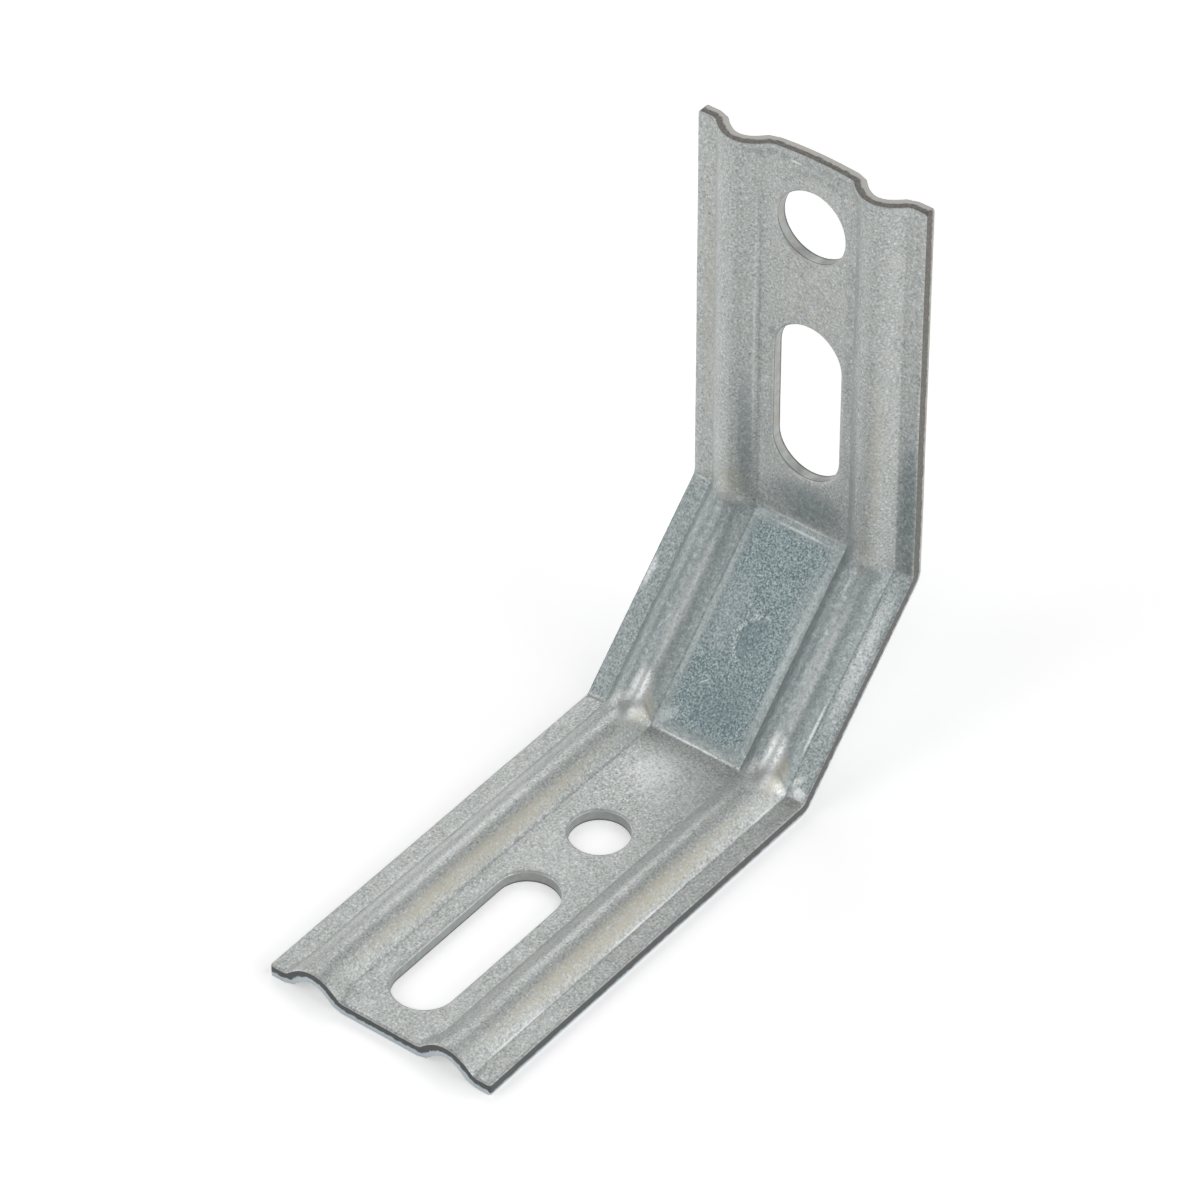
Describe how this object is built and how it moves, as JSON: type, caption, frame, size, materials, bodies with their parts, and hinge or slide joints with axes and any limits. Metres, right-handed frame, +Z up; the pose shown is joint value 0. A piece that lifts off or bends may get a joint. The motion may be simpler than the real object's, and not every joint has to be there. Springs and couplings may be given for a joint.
{
  "type": "angle bracket",
  "caption": "Pressed sheet-steel angle bracket with a sloping middle, stiffening ribs that run through its folds, and a round hole and a slot in each leg.",
  "frame": {"origin": "on the surface that the level leg lies on, under the middle of the bracket's box", "axes": "+X along the level leg towards its free end, +Y across the strip, +Z up along the upright leg"},
  "size_m": [0.076, 0.03, 0.0709],
  "materials": {
    "zinc": "zinc coating, dull grey with a fine speckle"
  },
  "bodies": {
    "root": {"angle_bracket": "zinc"}
  },
  "joints": []
}
